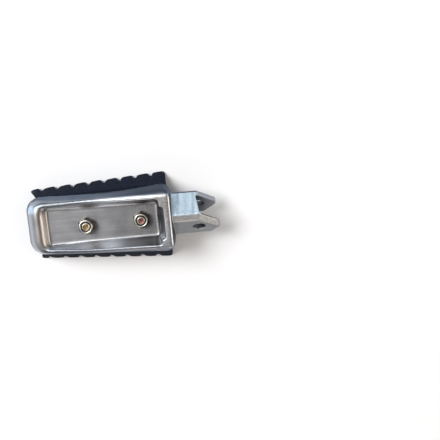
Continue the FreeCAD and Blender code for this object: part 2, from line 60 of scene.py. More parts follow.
# Sizes and places are in millimetres, and heights are measured from the plane of the tread's ribs.
RUBBER_LOW, RUBBER_HIGH = corners("tread_rubber")
NUT_LOW, NUT_HIGH = corners("nut_outer")
RUBBER_NOSE = RUBBER_LOW[0]
RUBBER_END = RUBBER_HIGH[0]
SEAT = RUBBER_HIGH[2]
POCKET_FLOOR = NUT_LOW[2]
NUT_TOP = NUT_HIGH[2]
# The casting's middle line lies a little to the +Y side of the tread's.
MIDDLE = 0.7
# The middle of the hinge pin's bore, and the fork's turn about the peg.
PIN = (50.2, MIDDLE + 1.5, 17.0)
FORK_TURN = math.radians(36)
# The studs stand in the middles of their nuts.
STUDS = {end: upright_axis("nut_" + end) for end in ("outer", "inner")}


def new_object(name, vertices, faces):
    """A mesh object from points in millimetres."""
    mesh = bpy.data.meshes.new(name)
    mesh.from_pydata([tuple(np.asarray(point) * MM) for point in vertices], [], faces)
    mesh.validate()
    mesh.shade_smooth()
    piece = bpy.data.objects.new(name, mesh)
    bpy.context.scene.collection.objects.link(piece)
    return piece


def bake_modifiers(piece):
    """Puts the result of the piece's modifiers into its mesh."""
    graph = bpy.context.evaluated_depsgraph_get()
    mesh = bpy.data.meshes.new_from_object(piece.evaluated_get(graph))
    piece.modifiers.clear()
    piece.data = mesh


def sharpen(piece, degrees):
    """Keeps edges that turn by more than an angle crisp in the shading."""
    piece.data.set_sharp_from_angle(angle=math.radians(degrees))


# Materials

class Nodes:
    """A node tree, with short calls for the nodes that it is made of."""

    def __init__(self, tree):
        self.tree = tree

    def add(self, kind):
        return self.tree.nodes.new(kind)

    def put(self, value, target):
        """Links an output to an input, or sets the input to a number or a colour."""
        if isinstance(value, bpy.types.NodeSocket):
            self.tree.links.new(value, target)
        elif isinstance(value, tuple):
            target.default_value = (*value, 1)
        else:
            target.default_value = value

    def maths(self, operation, *values):
        node = self.add("ShaderNodeMath")
        node.operation = operation
        for value, target in zip(values, node.inputs):
            self.put(value, target)
        return node.outputs[0]

    def times(self, first, second):
        return self.maths("MULTIPLY", first, second)

    def minus(self, first, second):
        return self.maths("SUBTRACT", first, second)

    def length(self, first, second):
        """The length of an arrow from its two parts."""
        squares = self.times(first, first), self.times(second, second)
        return self.maths("SQRT", self.maths("ADD", *squares))

    def split(self, vector):
        node = self.add("ShaderNodeSeparateXYZ")
        self.put(vector, node.inputs[0])
        return node.outputs

    def fit(self, value, low, high, to_low=0.0, to_high=1.0):
        """A value taken smoothly from one range to another."""
        node = self.add("ShaderNodeMapRange")
        node.interpolation_type = "SMOOTHSTEP"
        for number, target in zip((value, low, high, to_low, to_high), node.inputs):
            self.put(number, target)
        return node.outputs[0]

    def mix(self, factor, first, second):
        node = self.add("ShaderNodeMix")
        node.data_type = "RGBA"
        self.put(factor, node.inputs[0])
        self.put(first, node.inputs[6])
        self.put(second, node.inputs[7])
        return node.outputs[2]

    def graded(self, value, low, high, first, second):
        """A colour that goes from the first to the second as a value goes from low to high."""
        return self.mix(self.fit(value, low, high), first, second)


class Shader(Nodes):
    """A material with one surface, which is painted by the place on the object."""

    def __init__(self, name, metallic=0.0):
        self.material = bpy.data.materials.new(name)
        self.material.use_nodes = True
        super().__init__(self.material.node_tree)
        self.tree.nodes.clear()
        output = self.add("ShaderNodeOutputMaterial")
        self.surface = self.add("ShaderNodeBsdfPrincipled")
        self.surface.inputs["Metallic"].default_value = metallic
        self.put(self.surface.outputs["BSDF"], output.inputs["Surface"])
        self.place = self.add("ShaderNodeTexCoord").outputs["Object"]

    def stretched(self, x, y, z):
        """The place on the object, with each axis multiplied by a number."""
        node = self.add("ShaderNodeVectorMath")
        node.operation = "MULTIPLY"
        self.put(self.place, node.inputs[0])
        node.inputs[1].default_value = (x, y, z)
        return node.outputs[0]

    def noise(self, scale, detail=3.0, roughness=0.5, vector=None):
        node = self.add("ShaderNodeTexNoise")
        self.put(vector or self.place, node.inputs["Vector"])
        node.inputs["Scale"].default_value = scale
        node.inputs["Detail"].default_value = detail
        node.inputs["Roughness"].default_value = roughness
        return node.outputs["Fac"]

    def cells(self, scale):
        node = self.add("ShaderNodeTexVoronoi")
        self.put(self.place, node.inputs["Vector"])
        node.inputs["Scale"].default_value = scale
        return node.outputs["Distance"]

    def axes(self):
        """The place on the object along X, Y and Z, in millimetres."""
        return self.split(self.stretched(1 / MM, 1 / MM, 1 / MM))

    def facing(self):
        """How far the surface faces along X, Y and Z, from -1 to 1."""
        return self.split(self.add("ShaderNodeNewGeometry").outputs["Normal"])

    def edges(self):
        """A value that is above a half on outward edges."""
        return self.add("ShaderNodeNewGeometry").outputs["Pointiness"]

    def bump(self, *layers):
        """Bumps laid one over another, each a height and a depth in millimetres."""
        normal = None
        for height, depth in layers:
            node = self.add("ShaderNodeBump")
            node.inputs["Distance"].default_value = depth * MM
            self.put(height, node.inputs["Height"])
            if normal:
                self.put(normal, node.inputs["Normal"])
            normal = node.outputs[0]
        self.put(normal, self.surface.inputs["Normal"])

    def colour(self, value):
        self.put(value, self.surface.inputs["Base Color"])

    def rough(self, value):
        self.put(value, self.surface.inputs["Roughness"])


class CastAluminium(Shader):
    """Tumbled aluminium, whose areas are painted one over another.

    An area is where each value that it names lies between its limits. Two limits say where the value goes
    from outside to inside, and two more, where there are four, say where it goes outside again.
    """

    def __init__(self):
        super().__init__("cast_aluminium", metallic=1.0)
        x, y, z = self.axes()
        aside, up = self.facing()[1:3]
        side, rise = self.minus(y, PIN[1]), self.minus(z, PIN[2])
        cosine, sine = math.cos(FORK_TURN), math.sin(FORK_TURN)
        along_pin = self.minus(self.times(side, cosine), self.times(rise, sine))
        over_pin = self.maths("ADD", self.times(side, sine), self.times(rise, cosine))
        self.values = {
            "x": x, "y": y, "z": z, "aside": aside, "up": up,
            "off_middle": self.maths("ABSOLUTE", self.minus(y, MIDDLE)),
            "along_pin": along_pin, "over_pin": over_pin,
            "from_pin": self.length(self.minus(x, PIN[0]), over_pin),
        }
        self.fork = self.area(x=(33.2, 34.5))
        self.tray = self.minus(1.0, self.fork)
        self.flecks = self.noise(620, 4, 0.6)
        self.blotch = self.noise(70, 4, 0.6)
        self.streaks = self.noise(1.0, 4, 0.6, self.stretched(30, 1100, 1100))
        self.tone = self.graded(self.blotch, 0.3, 0.7, (0.34, 0.36, 0.40), (0.44, 0.455, 0.485))

    def area(self, within=None, **limits):
        """A mask for the area between some limits, or for the part of it within another mask."""
        masks = [within] if within else []
        for name, ends in limits.items():
            masks.append(self.fit(self.values[name], *ends[:2]))
            if len(ends) == 4:
                masks.append(self.fit(self.values[name], ends[3], ends[2]))
        return functools.reduce(self.times, masks)

    def along(self, start, end, first, second):
        """A colour that changes along the peg."""
        return self.graded(self.values["x"], start, end, first, second)

    def paint(self, colour, mask):
        self.tone = self.mix(mask, self.tone, colour)


def cast_aluminium():
    """Tumbled aluminium, with a brushed pocket floor and a coarser, paler fork; much of its colour is
    painted light: highlights, reflections and shade.
    """
    shader = CastAluminium()
    paint_pocket_walls(shader)
    paint_nose(shader)
    outside = paint_outside(shader)
    floor = paint_floor(shader)
    paint_hinge_end(shader)
    paint_fork(shader)
    shader.colour(shader.tone)
    rough = shader.fit(shader.blotch, 0.25, 0.75, 0.33, 0.44)
    rough = shader.maths("ADD", rough, shader.times(shader.fork, 0.12))
    shader.rough(shader.maths("ADD", rough, shader.times(floor, 0.03)))
    # painted reflection: the outside's highlights are tinted blue
    shader.put(shader.mix(outside, (1, 1, 1), (0.66, 0.70, 0.78)), shader.surface.inputs["Specular Tint"])
    pits = shader.fit(shader.cells(620), 0.05, 0.28)
    grain = shader.noise(2600, 4, 0.65)
    shader.bump((shader.flecks, 0.03), (pits, 0.015), (shader.streaks, 0.01), (grain, 0.015))
    return shader.material


def paint_pocket_walls(shader):
    """The pocket's walls and the crests of the rim beside them, painted with light and shade: the walls
    darker towards the hinge as painted shade with a painted sheen brightest on the -Y side, the far crest's
    highlight painted dim towards the nose and bright towards the hinge, and the near crest painted dark.
    """
    # painted shade and sheen: the walls are painted darker towards the hinge, with a bright painted
    # reflection on the -Y side
    tone = shader.along(-12, 10, (0.50, 0.52, 0.555), (0.30, 0.305, 0.32))
    sheen = shader.area(x=(-34, -22, -8, 4), y=(-4, -8))
    tone = shader.mix(sheen, tone, (0.90, 0.93, 0.97))
    shader.paint(tone, shader.area(off_middle=(16.8, 15.8), up=(0.85, 0.55)))
    # painted highlight and shade on the rim's crests: the far one dim at the nose and bright at the hinge,
    # the near one dark
    crest = shader.area(z=(22.2, 23.2), up=(0.35, 0.7), x=(-60, -52))
    far_crest_light = shader.along(-30, 10, (0.14, 0.15, 0.165), (0.60, 0.64, 0.67))
    near_crest_shade = shader.along(-30, 10, (0.14, 0.15, 0.17), (0.24, 0.25, 0.275))
    shader.paint(far_crest_light, shader.area(within=crest, y=(13.5, 14.8)))
    shader.paint(near_crest_shade, shader.area(within=crest, y=(-12.5, -14.0)))


def paint_nose(shader):
    """The nose, painted with light: a pale painted highlight on the corner with a blue painted gleam beside
    it, and a warm painted reflection on the roll into the pocket.
    """
    corner = shader.area(x=(-54.5, -56.5), y=(8.5, 12.5), up=(0.72, 0.86))
    gleam = shader.area(x=(-56.0, -58.0), up=(0.45, 0.65), y=(10.0, 12.5, 15.0, 17.2))
    roll = shader.area(x=(-58.2, -56.2, -51.0, -49.5), z=(20.8, 21.6), off_middle=(15.0, 11.5))
    # painted light: highlight on the corner, blue gleam, and warm reflection on the roll
    shader.paint((0.31, 0.38, 0.46), corner)
    shader.paint((0.60, 0.74, 0.88), gleam)
    shader.paint((0.42, 0.385, 0.36), roll)


def paint_outside(shader):
    """The tray's outside is painted a dark blue grey as painted shade and painted sky reflection, darker
    towards the hinge. Gives its mask.
    """
    flank = shader.maths("MAXIMUM", shader.area(off_middle=(16.5, 18.5)), shader.area(x=(-58.5, -60.5)))
    flank = shader.maths("MAXIMUM", flank, shader.area(within=shader.tray, x=(32.2, 33.0)))
    outside = shader.area(within=flank, up=(0.75, 0.35))
    # painted shade and reflection: a dark blue grey, darker still towards the hinge
    blue_grey_shade = shader.graded(shader.blotch, 0.3, 0.7, (0.10, 0.12, 0.16), (0.15, 0.18, 0.225))
    shader.paint(shader.along(-20, 20, blue_grey_shade, (0.045, 0.054, 0.072)), outside)
    return outside


def paint_floor(shader):
    """The pocket's floor, brushed along the peg and worn at its hinge end. Gives its mask."""
    floor = shader.area(within=shader.tray, z=(23.5, 20.5), up=(0.75, 0.95))
    brushed = shader.graded(shader.streaks, 0.25, 0.75, (0.34, 0.337, 0.345), (0.43, 0.425, 0.437))
    speckle = shader.noise(1400, 4, 0.75)
    wear_and_highlight = shader.graded(speckle, 0.36, 0.64, (0.28, 0.27, 0.265), (0.52, 0.51, 0.50))
    wear = shader.times(shader.area(x=(-4, 14)), 0.75)
    shader.paint(shader.mix(wear, brushed, wear_and_highlight), floor)
    # painted shade: the fillet round the floor is painted dark in its corner at the nose, and its highlight
    # is painted down along the nose's roll
    shaded_fillet_corner = shader.area(x=(-50.5, -49.0, -44, -34), y=(-5, -7), z=(22.4, 21.4),
                              up=(0.68, 0.80, 0.93, 0.985))
    dimmed_foot_highlight = shader.area(x=(-56.0, -54.5, -48.5, -47.0), z=(21.4, 20.8), up=(0.992, 0.965),
                             off_middle=(16.5, 15.0))
    shader.paint((0.07, 0.07, 0.075), shaded_fillet_corner)
    shader.paint((0.33, 0.32, 0.31), dimmed_foot_highlight)
    return floor


def paint_hinge_end(shader):
    """The flat rim at the hinge end is grainy and warm on its +Y side; its outer edge carries a painted
    highlight, and the wall below it and the corner pad's edge are painted dark as painted shade.
    """
    coarse = shader.noise(1100, 4, 0.75)
    warm = shader.graded(coarse, 0.35, 0.65, (0.25, 0.24, 0.235), (0.47, 0.455, 0.44))
    cool = shader.graded(coarse, 0.35, 0.65, (0.33, 0.345, 0.37), (0.55, 0.57, 0.60))
    rim = shader.area(within=shader.tray, x=(23.5, 25.5), up=(0.85, 0.97))
    shader.paint(shader.graded(shader.values["y"], 2, -8, warm, cool), rim)
    rim_edge = shader.area(x=(32.1, 32.5, 33.0, 33.3), up=(0.35, 0.6))
    wall = shader.area(x=(20.5, 22.5, 29.5, 30.5), up=(0.8, 0.5), off_middle=(16.5, 15.0))
    pad_edge = shader.area(x=(21.2, 22.2, 29.8, 30.5), y=(-9.2, -10.2), up=(0.985, 0.93))
    # painted light: a bright painted highlight on the rim's edge, painted shade on the recessed wall and on
    # the pad's edge
    shader.paint((0.58, 0.58, 0.60), rim_edge)
    shader.paint((0.10, 0.10, 0.115), wall)
    shader.paint((0.16, 0.17, 0.19), pad_edge)


def paint_fork(shader):
    """The fork is frosted on its top and milled on its side, and painted dark as painted shade between its
    ears, in its bores and along some edges.
    """
    bands = shader.noise(1.0, 3, 0.6, shader.stretched(520, 40, 40))
    speckle = shader.noise(1500, 3, 0.7)
    frost = shader.maths("ADD", shader.times(bands, 0.5), shader.times(speckle, 0.5))
    # partly painted light: the frosted top is painted pale blue where it faces +Y as a painted sky
    # reflection, and the bevels are painted paler than the milled sides
    top = shader.graded(frost, 0.36, 0.64, (0.335, 0.425, 0.495), (0.70, 0.805, 0.875))
    milled = shader.graded(shader.flecks, 0.25, 0.75, (0.19, 0.20, 0.21), (0.25, 0.26, 0.27))
    bevelled = shader.graded(shader.flecks, 0.25, 0.75, (0.42, 0.415, 0.41), (0.58, 0.575, 0.57))
    side = shader.graded(shader.values["up"], 0.70, 0.80, milled, bevelled)
    shader.paint(shader.graded(shader.values["aside"], -0.05, 0.35, side, top), shader.fork)
    far_slope = shader.area(within=shader.fork, along_pin=(6.2, 6.6), x=(50.5, 51.5))
    far_bevel = shader.area(within=shader.fork, along_pin=(8.4, 9.0), aside=(0.64, 0.78))
    near_inner_edge = shader.area(within=shader.fork, along_pin=(-7.6, -7.1, -6.4, -6.0), x=(52, 53))
    between = shader.area(within=shader.fork, along_pin=(-6.6, -6.3, 6.3, 6.6), over_pin=(12.2, 11.5))
    bore = shader.area(within=shader.fork, from_pin=(4.35, 4.0))
    # painted light and shade: a paler tone on the far ear's slope, shade on the far bevel, the near ear's
    # inner edge, between the ears and in the bores
    shader.paint((0.34, 0.36, 0.41), far_slope)
    shader.paint((0.075, 0.09, 0.12), far_bevel)
    shader.paint((0.10, 0.11, 0.14), near_inner_edge)
    shader.paint(shader.along(52, 57, (0.06, 0.085, 0.12), (0.22, 0.225, 0.235)), between)
    shader.paint((0.13, 0.135, 0.155), bore)


def tread_rubber():
    """Moulded rubber with a navy cast, a fine grain, a little dust and paler edges."""
    shader = Shader("tread_rubber_black")
    grain = shader.noise(3200, 4, 0.6)
    mottle = shader.noise(240, 4, 0.6)
    dust = shader.fit(shader.noise(120, 5, 0.7), 0.5, 0.78)
    edges = shader.fit(shader.edges(), 0.52, 0.6)
    nose = shader.times(shader.fit(shader.axes()[0], -57.5, -61), shader.fit(mottle, 0.2, 0.7))
    tone = shader.graded(mottle, 0.3, 0.7, (0.005, 0.008, 0.016), (0.009, 0.013, 0.025))
    for mask, share, colour in (
            (dust, 0.06, (0.09, 0.095, 0.105)), (nose, 0.25, (0.11, 0.12, 0.13)),
            (edges, 0.08, (0.075, 0.08, 0.09))):
        tone = shader.mix(shader.times(mask, share), tone, colour)
    shader.colour(tone)
    shader.rough(shader.fit(mottle, 0.25, 0.75, 0.62, 0.82))
    shader.surface.inputs["Specular IOR Level"].default_value = 0.05
    shader.bump((mottle, 0.05), (grain, 0.03))
    return shader.material


def plated_steel(name, dark, light, low_rough, high_rough, shaded_hex=False):
    """Zinc plated steel with fine turning marks and small stains. With shaded_hex, a nut's hexagon below its
    crown is painted dark brown as painted shade.
    """
    shader = Shader(name, metallic=1.0)
    stain = shader.noise(600, 4, 0.65)
    marks = shader.noise(1.0, 3, 0.6, shader.stretched(500, 500, 6000))
    grain = shader.noise(4200, 3, 0.6)
    wear_and_highlight = shader.fit(shader.edges(), 0.53, 0.64)
    tone = shader.graded(stain, 0.3, 0.7, dark, light)
    tone = shader.mix(shader.times(wear_and_highlight, 0.5), tone, (0.88, 0.87, 0.83))
    # painted shade: the hexagon under the crown is painted dark brown
    if shaded_hex:
        hex_shade = shader.graded(stain, 0.35, 0.65, (0.07, 0.058, 0.05), (0.19, 0.16, 0.14))
        tone = shader.graded(shader.axes()[2], NUT_TOP - 0.10, NUT_TOP - 0.22, tone, hex_shade)
    shader.colour(tone)
    shader.rough(shader.fit(stain, 0.25, 0.75, low_rough, high_rough))
    shader.bump((stain, 0.02), (marks, 0.01), (grain, 0.01))
    return shader.material


def stud_steel(name, centre, dark, light):
    """A stud whose bevelled end is painted bright as a painted highlight round a stained middle, with its
    threads painted dark as painted shade.
    """
    shader = Shader(name, metallic=1.0)
    x, y = shader.axes()[:2]
    radius = shader.length(shader.minus(x, centre[0]), shader.minus(y, centre[1]))
    stain = shader.noise(900, 4, 0.65)
    grain = shader.noise(4200, 3, 0.6)
    middle = shader.graded(stain, 0.3, 0.7, dark, light)
    # painted highlight: the bevel round the end is painted pale cream
    wear_and_highlight = shader.graded(stain, 0.3, 0.7, (0.72, 0.66, 0.55), (0.90, 0.86, 0.77))
    bevel = shader.times(shader.fit(radius, 1.95, 2.12), shader.fit(radius, 2.62, 2.50))
    tone = shader.mix(bevel, middle, wear_and_highlight)
    # painted shade: the threads beyond the bevel are painted nearly black
    shader.colour(shader.graded(radius, 2.52, 2.62, tone, (0.06, 0.055, 0.05)))
    shader.rough(shader.fit(stain, 0.25, 0.75, 0.34, 0.5))
    shader.bump((stain, 0.03), (grain, 0.01))
    return shader.material


def nylon():
    """Dark, slightly glossy nylon."""
    shader = Shader("nylon_dark")
    mottle = shader.noise(900, 3)
    shader.colour(shader.graded(mottle, 0.3, 0.7, (0.012, 0.012, 0.014), (0.03, 0.03, 0.034)))
    shader.rough(shader.fit(mottle, 0.3, 0.7, 0.38, 0.55))
    shader.bump((mottle, 0.02))
    return shader.material


# Casting

# How the skin is made from the CAD surface: a weld's reach, the remesh's cell, and rounds of smoothing.
WELD = 0.002
CELL = 0.5
ALL_ROUNDS = 5
NOSE_ROUNDS = 240
TIP_ROUNDS = 14


def soften(piece, rounds, share=None):
    """Smooths a piece, or the part of it that a share from 0 to 1 of its points' places picks out."""
    smooth = piece.modifiers.new("soften", "SMOOTH")
    smooth.factor = 0.5
    smooth.iterations = rounds
    if share:
        points = np.empty(len(piece.data.vertices) * 3)
        piece.data.vertices.foreach_get("co", points)
        weights = share(*points.reshape(-1, 3).T / MM)
        group = piece.vertex_groups.new(name="soft")
        for index in np.flatnonzero(weights > 0.01):
            group.add([int(index)], float(weights[index]), "REPLACE")
        smooth.vertex_group = group.name
    bake_modifiers(piece)
    piece.vertex_groups.clear()


def nose_share(x, y, z):
    """The nose wall rolls over into the pocket in one broad curve."""
    return np.interp(x, (-52.0, -45.0), (1, 0)) * np.interp(z, (19.8, 21.8), (0, 1))


def tip_share(x, y, z):
    """The tips of the fork's ears are worn round."""
    return np.interp(x, (57.0, 60.0), (0, 1))


def casting():
    """The casting's own surface, its edges softened as tumbling leaves them."""
    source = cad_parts["footpeg_casting"]
    piece = bpy.data.objects.new("casting_skin", source.data.copy())
    bpy.context.scene.collection.objects.link(piece)
    weld = piece.modifiers.new("weld", "WELD")
    weld.merge_threshold = WELD * MM
    remesh = piece.modifiers.new("remesh", "REMESH")
    remesh.mode = "VOXEL"
    remesh.voxel_size = CELL * MM
    soften(piece, ALL_ROUNDS)
    soften(piece, NOSE_ROUNDS, nose_share)
    soften(piece, TIP_ROUNDS, tip_share)
    piece.data.shade_smooth()
    piece.data.materials.clear()
    piece.data.materials.append(cast_aluminium())
    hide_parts("footpeg_casting")
    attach(piece, "root")


# Rubber tread

# Where the rubber's nose lies at its seat.
RUBBER_NOSE_SEAT = -56.7
# How far the rubber reaches out at its nose and at its end, on the +Y side (1) and on the -Y side (-1).
HALF_SEAT = {1: (20.2, 22.6), -1: (17.7, 22.6)}
HALF_RIBS = {1: (24.8, 29.9), -1: (23.6, 29.9)}
# The radius of the rubber's corners, seen from above.
RUBBER_CORNER = 1.8
# Middles of the grooves along the peg, and half a groove's width at each of its depths.
GROOVES = [-55.5 + 10.7 * index for index in range(8)]
GROOVE = ((2.15, 0.0), (1.4, 1.2), (0.9, 3.5))
GROOVE_ROUND = 0.8
# The spacing of points along the tread, and the smallest gap that is kept.
SPACING = 0.55
SMALLEST_GAP = 0.02
# Heights of the points up a side without a groove, and how far the lowest ones stand in to round its edge.
LEVELS = (0.0, 0.15, 0.4, 0.75, 1.6, 3.0, 5.0, 7.2, 9.6, 12.0, 13.6, 14.6, SEAT)
SHOULDER = (0.75, 0.22, 0.06)
# Over a groove the points up to this level rise with it, and the others share what is left of the side.
EDGE_TOP = 0.75
# The steps that the tread and the seat are drawn in from side to side.
STEPS = 12
# How high up the side the shape of the ribs' ends reaches.
RIB_END_REACH = 7.0
# How far the corners of a rib's end stand back: both of them at -Y, and the nose's and the hinge's at +Y,
# where the end's crest lies at a share of the rib's width.
NEAR_BACK = 0.5
FAR_BACK = (0.95, 0.5)
FAR_CREST = 0.72
# The nose end stands back between the first rib's ends: by how much at places across, and along what length.
NOSE_BACK_PLACES = (-24.0, -20.0, 20.8, 22.6)
NOSE_BACK = (1.3, 3.2, 3.2, 0.0)
NOSE_BACK_LENGTH = 9.0


def wall(x, height, side):
    """The rubber's edge at a height, straight from its ribs to its seat."""
    ribs = side * np.interp(x, (RUBBER_NOSE, RUBBER_END), HALF_RIBS[side])
    seat = MIDDLE + side * np.interp(x, (RUBBER_NOSE_SEAT, RUBBER_END), HALF_SEAT[side])
    return ribs + (seat - ribs) * height / SEAT


def rounded(points, radius, steps):
    """A run of points whose inner corners are rounded."""
    points = [np.array(point, float) for point in points]
    run = [points[0]]
    for before, corner, after in zip(points, points[1:], points[2:]):
        reach = min(radius, np.linalg.norm(before - corner) / 2, np.linalg.norm(after - corner) / 2)
        start = corner + (before - corner) / np.linalg.norm(before - corner) * reach
        end = corner + (after - corner) / np.linalg.norm(after - corner) * reach
        for share in np.linspace(0, 1, steps):
            run.append((1 - share) ** 2 * start + 2 * share * (1 - share) * corner + share ** 2 * end)
    run.append(points[-1])
    return run


def filled(run):
    """The same run with points added until they are close enough, and without doubled ones."""
    points = [run[0]]
    for point in run[1:]:
        start = points[-1]
        count = max(1, math.ceil(np.linalg.norm(point - start) / SPACING))
        points += [start + (point - start) * (index + 1) / count for index in range(count)]
    return points[:1] + [
        point for before, point in zip(points, points[1:]) if np.linalg.norm(point - before) > SMALLEST_GAP]


def tread_profile():
    """The tread's ribs and grooves as points along the peg and up."""
    outline = [(RUBBER_NOSE, 0.0)]
    for middle in GROOVES:
        outline += [(middle - half, depth) for half, depth in GROOVE]
        outline += [(middle + half, depth) for half, depth in reversed(GROOVE)]
    outline.append((RUBBER_END, 0.0))
    return filled(rounded(outline, GROOVE_ROUND, 5))


def corner_cut(x):
    """How far the rubber's rounded corners stand back from its straight side."""
    near = np.clip(RUBBER_CORNER - min(x - RUBBER_NOSE, RUBBER_END - x), 0, RUBBER_CORNER)
    return RUBBER_CORNER - math.sqrt(RUBBER_CORNER ** 2 - near ** 2)


def rib_end_cut(x, side):
    """Each rib's end bulges a little in plan, and on the +Y side most of all towards the hinge."""
    edges = [RUBBER_NOSE] + GROOVES + [RUBBER_END]
    rib = min(int(np.searchsorted(edges, x, side="right")), len(edges) - 1)
    start, end = edges[rib - 1], edges[rib]
    share = (x - start) / (end - start)
    if side < 0:
        return NEAR_BACK * abs(2 * share - 1) ** 2.4
    before = max(0.0, 1 - share / FAR_CREST)
    after = max(0.0, (share - FAR_CREST) / (1 - FAR_CREST))
    shallower = np.interp(x, (-10, 22), (1.0, 0.35))
    return shallower * (FAR_BACK[0] * before ** 1.8 + FAR_BACK[1] * after ** 2)


def drawn_in(x, y, height):
    """The nose end stands back between the first rib's two ends, most of all next to the +Y one."""
    near_end = np.clip((RUBBER_NOSE + NOSE_BACK_LENGTH - x) / NOSE_BACK_LENGTH, 0, 1)
    back = np.interp(y, NOSE_BACK_PLACES, NOSE_BACK)
    return x + back * near_end * (1 - height / SEAT), y, height


def rubber_side(x, z, side):
    """One side of the rubber over a point of its tread, as points from the ribs up to the seat."""
    seat_share = (RUBBER_END - RUBBER_NOSE_SEAT) / (RUBBER_END - RUBBER_NOSE)
    top_x = RUBBER_END - (RUBBER_END - x) * seat_share
    end_cut = corner_cut(x) + rib_end_cut(x, side)
    run = []
    for index, level in enumerate(LEVELS):
        height = z + (SEAT - z) * level / SEAT if level > EDGE_TOP else z + level
        at = x + (top_x - x) * (height - z) / (SEAT - z)
        fade = max(0.0, 1 - (height - z) / RIB_END_REACH)
        inset = corner_cut(at) * (1 - fade) + end_cut * fade
        if index < len(SHOULDER):
            inset += SHOULDER[index]
        run.append((at, wall(at, height, side) - side * inset, height))
    return run


def rubber_ring(x, z):
    """A ring of points round the rubber: down its +Y side, across its tread, up its -Y side and back."""
    far, near = rubber_side(x, z, 1), rubber_side(x, z, -1)
    steps = [step / STEPS for step in range(1, STEPS)]
    shares = [0.03, 0.06, 0.09, 0.12] + steps[1:] + [0.94, 0.97]
    tread = [(x, far[0][1] + (near[0][1] - far[0][1]) * share, z) for share in shares]
    seat = [(far[-1][0], far[-1][1] + (near[-1][1] - far[-1][1]) * share, SEAT) for share in steps]
    return [drawn_in(*point) for point in far[::-1] + tread + near + seat[::-1]]


def rubber():
    """The moulded tread, its ribs' ends rounded and its nose end drawn in."""
    rings = [rubber_ring(x, z) for x, z in tread_profile()]
    count = len(rings[0])
    faces = []
    for ring in range(len(rings) - 1):
        for index in range(count):
            after = (index + 1) % count
            faces.append((ring * count + index, (ring + 1) * count + index,
                          (ring + 1) * count + after, ring * count + after))
    faces.append(tuple(range(count)))
    last = (len(rings) - 1) * count
    faces.append(tuple(last + index for index in reversed(range(count))))
    piece = new_object("tread_rubber_skin", [point for ring in rings for point in ring], faces)
    sharpen(piece, 50)
    piece.data.materials.append(tread_rubber())
    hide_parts("tread_rubber")
    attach(piece, "root")


# Studs, nuts and rings

# Points round a turned piece, and the angle of each.
TURN = 144
ANGLES = np.arange(TURN) * 2 * math.pi / TURN
# Half of a nut over its flats, the reach of its rounded corners, and the height of its hexagon.
HALF_FLATS = 5.0
HEX_CORNER = 5.68
HEX_HEIGHT = 4.1
# The studs' ends stand a little out of the nuts.
STUD_END = NUT_TOP + 0.3


def turned(name, rows, centre, closed):
    """A turned mesh from rows of a height and the radii around; closed joins the last row to the first."""
    vertices = []
    for height, radii in rows:
        for radius, angle in zip(np.broadcast_to(radii, TURN), ANGLES):
            x = centre[0] + radius * math.cos(angle)
            y = centre[1] + radius * math.sin(angle)
            vertices.append((x, y, height))
    faces = []
    pairs = [(row, row + 1) for row in range(len(rows) - 1)]
    if closed:
        pairs.append((len(rows) - 1, 0))
    for low, high in pairs:
        for step in range(TURN):
            after = (step + 1) % TURN
            faces.append((low * TURN + step, low * TURN + after, high * TURN + after, high * TURN + step))
    if not closed:
        faces.append(tuple(reversed(range(TURN))))
        faces.append(tuple((len(rows) - 1) * TURN + step for step in range(TURN)))
    return new_object(name, vertices, faces)


def hexagon():
    """The distance from a nut's axis to its hexagon, whose corners are a little rounded, all round."""
    off_flat = (np.degrees(ANGLES) + 30) % 60 - 30
    return np.minimum(HALF_FLATS / np.cos(np.radians(off_flat)), HEX_CORNER)


def nut(end, material):
    """A lock nut: a hexagon with bevelled ends under a collar that is rolled over its ring."""
    flats = hexagon()
    low, high = POCKET_FLOOR, POCKET_FLOOR + HEX_HEIGHT
    rows = [(low, 4.9)]
    for step in (0.0, 0.12, 0.25, 0.4, 0.6):
        rows.append((low + step, np.minimum(flats, 5.08 + 1.2 * step)))
    for step in (0.6, 0.45, 0.3, 0.18, 0.08, 0.0):
        rows.append((high - step, np.minimum(flats, 5.0 + 1.25 * step)))
    rows += [(high + 0.02, 4.86), (high + 0.1, 4.74), (high + 0.25, 4.67), (high + 0.5, 4.65)]
    rows += [(NUT_TOP - drop, radius) for radius, drop in (
        (4.65, 0.75), (4.61, 0.5), (4.5, 0.27), (4.33, 0.1), (4.1, 0.0), (3.85, 0.01), (3.66, 0.07),
        (3.55, 0.2), (3.55, 0.4), (3.95, 0.5), (3.95, 1.75), (3.0, 1.75))]
    rows.append((low, 3.0))
    piece = turned("nut_%s_body" % end, rows, STUDS[end], closed=True)
    sharpen(piece, 34)
    piece.data.materials.append(material)
    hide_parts("nut_" + end)
    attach(piece, "root")


def ring(end, material):
    """The locking ring, bulging a little out of the nut's crown."""
    rows = [(NUT_TOP - drop, radius) for radius, drop in (
        (3.03, 1.74), (3.92, 1.74), (3.92, 0.52), (3.78, 0.46), (3.72, 0.36), (3.6, 0.3), (3.4, 0.28),
        (3.2, 0.33), (3.06, 0.45), (3.03, 0.7))]
    piece = turned("nylon_ring_%s_body" % end, rows, STUDS[end], closed=True)
    sharpen(piece, 40)
    piece.data.materials.append(material)
    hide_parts("nylon_ring_" + end)
    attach(piece, "root")


def thread(height):
    """The radii round an M6 thread of 1 mm pitch, which fades out at the seat and narrows at the end."""
    phase = (height - ANGLES / (2 * math.pi)) % 1.0
    crest = np.clip(np.abs(phase - 0.5) * 2 * 1.35 - 0.15, 0, 1)
    fade = np.clip((height - SEAT - 0.2) / 1.0, 0, 1)
    bevel = 2.5 + max(0.0, STUD_END - 0.45 - height) * 1.1
    return np.minimum(2.97 * (1 - fade) + (2.42 + 0.55 * crest) * fade, bevel)


